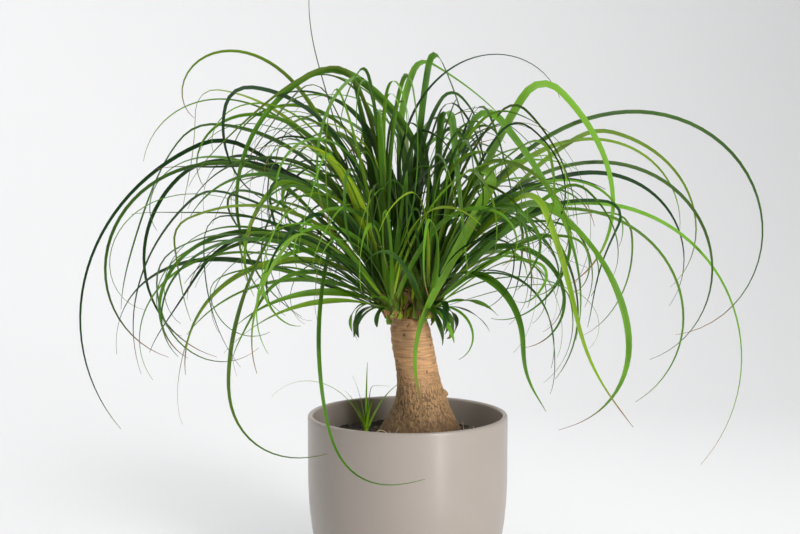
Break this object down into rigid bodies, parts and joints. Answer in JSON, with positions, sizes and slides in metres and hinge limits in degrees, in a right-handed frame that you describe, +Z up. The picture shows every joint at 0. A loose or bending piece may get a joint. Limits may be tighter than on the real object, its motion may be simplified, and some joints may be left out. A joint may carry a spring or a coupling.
{
  "type": "potted ponytail palm",
  "caption": "Potted ponytail palm: a round tapered glazed pot filled with soil, a swollen bark trunk and arching strap leaves.",
  "frame": {"origin": "centre of the pot's flat base, on the surface that it stands on", "axes": "+Z up, -Y towards the front of the plant, +X to its right side seen from the front"},
  "size_m": [0.636, 0.3987, 0.5953],
  "materials": {
    "glaze": "satin",
    "soil": "matte",
    "bark": "matte",
    "leaf": "satin"
  },
  "bodies": {
    "root": {"pot": "glaze", "soil": "soil", "trunk": "bark", "leaves_front": "leaf", "leaves_back": "leaf", "sprout": "leaf"}
  },
  "joints": []
}
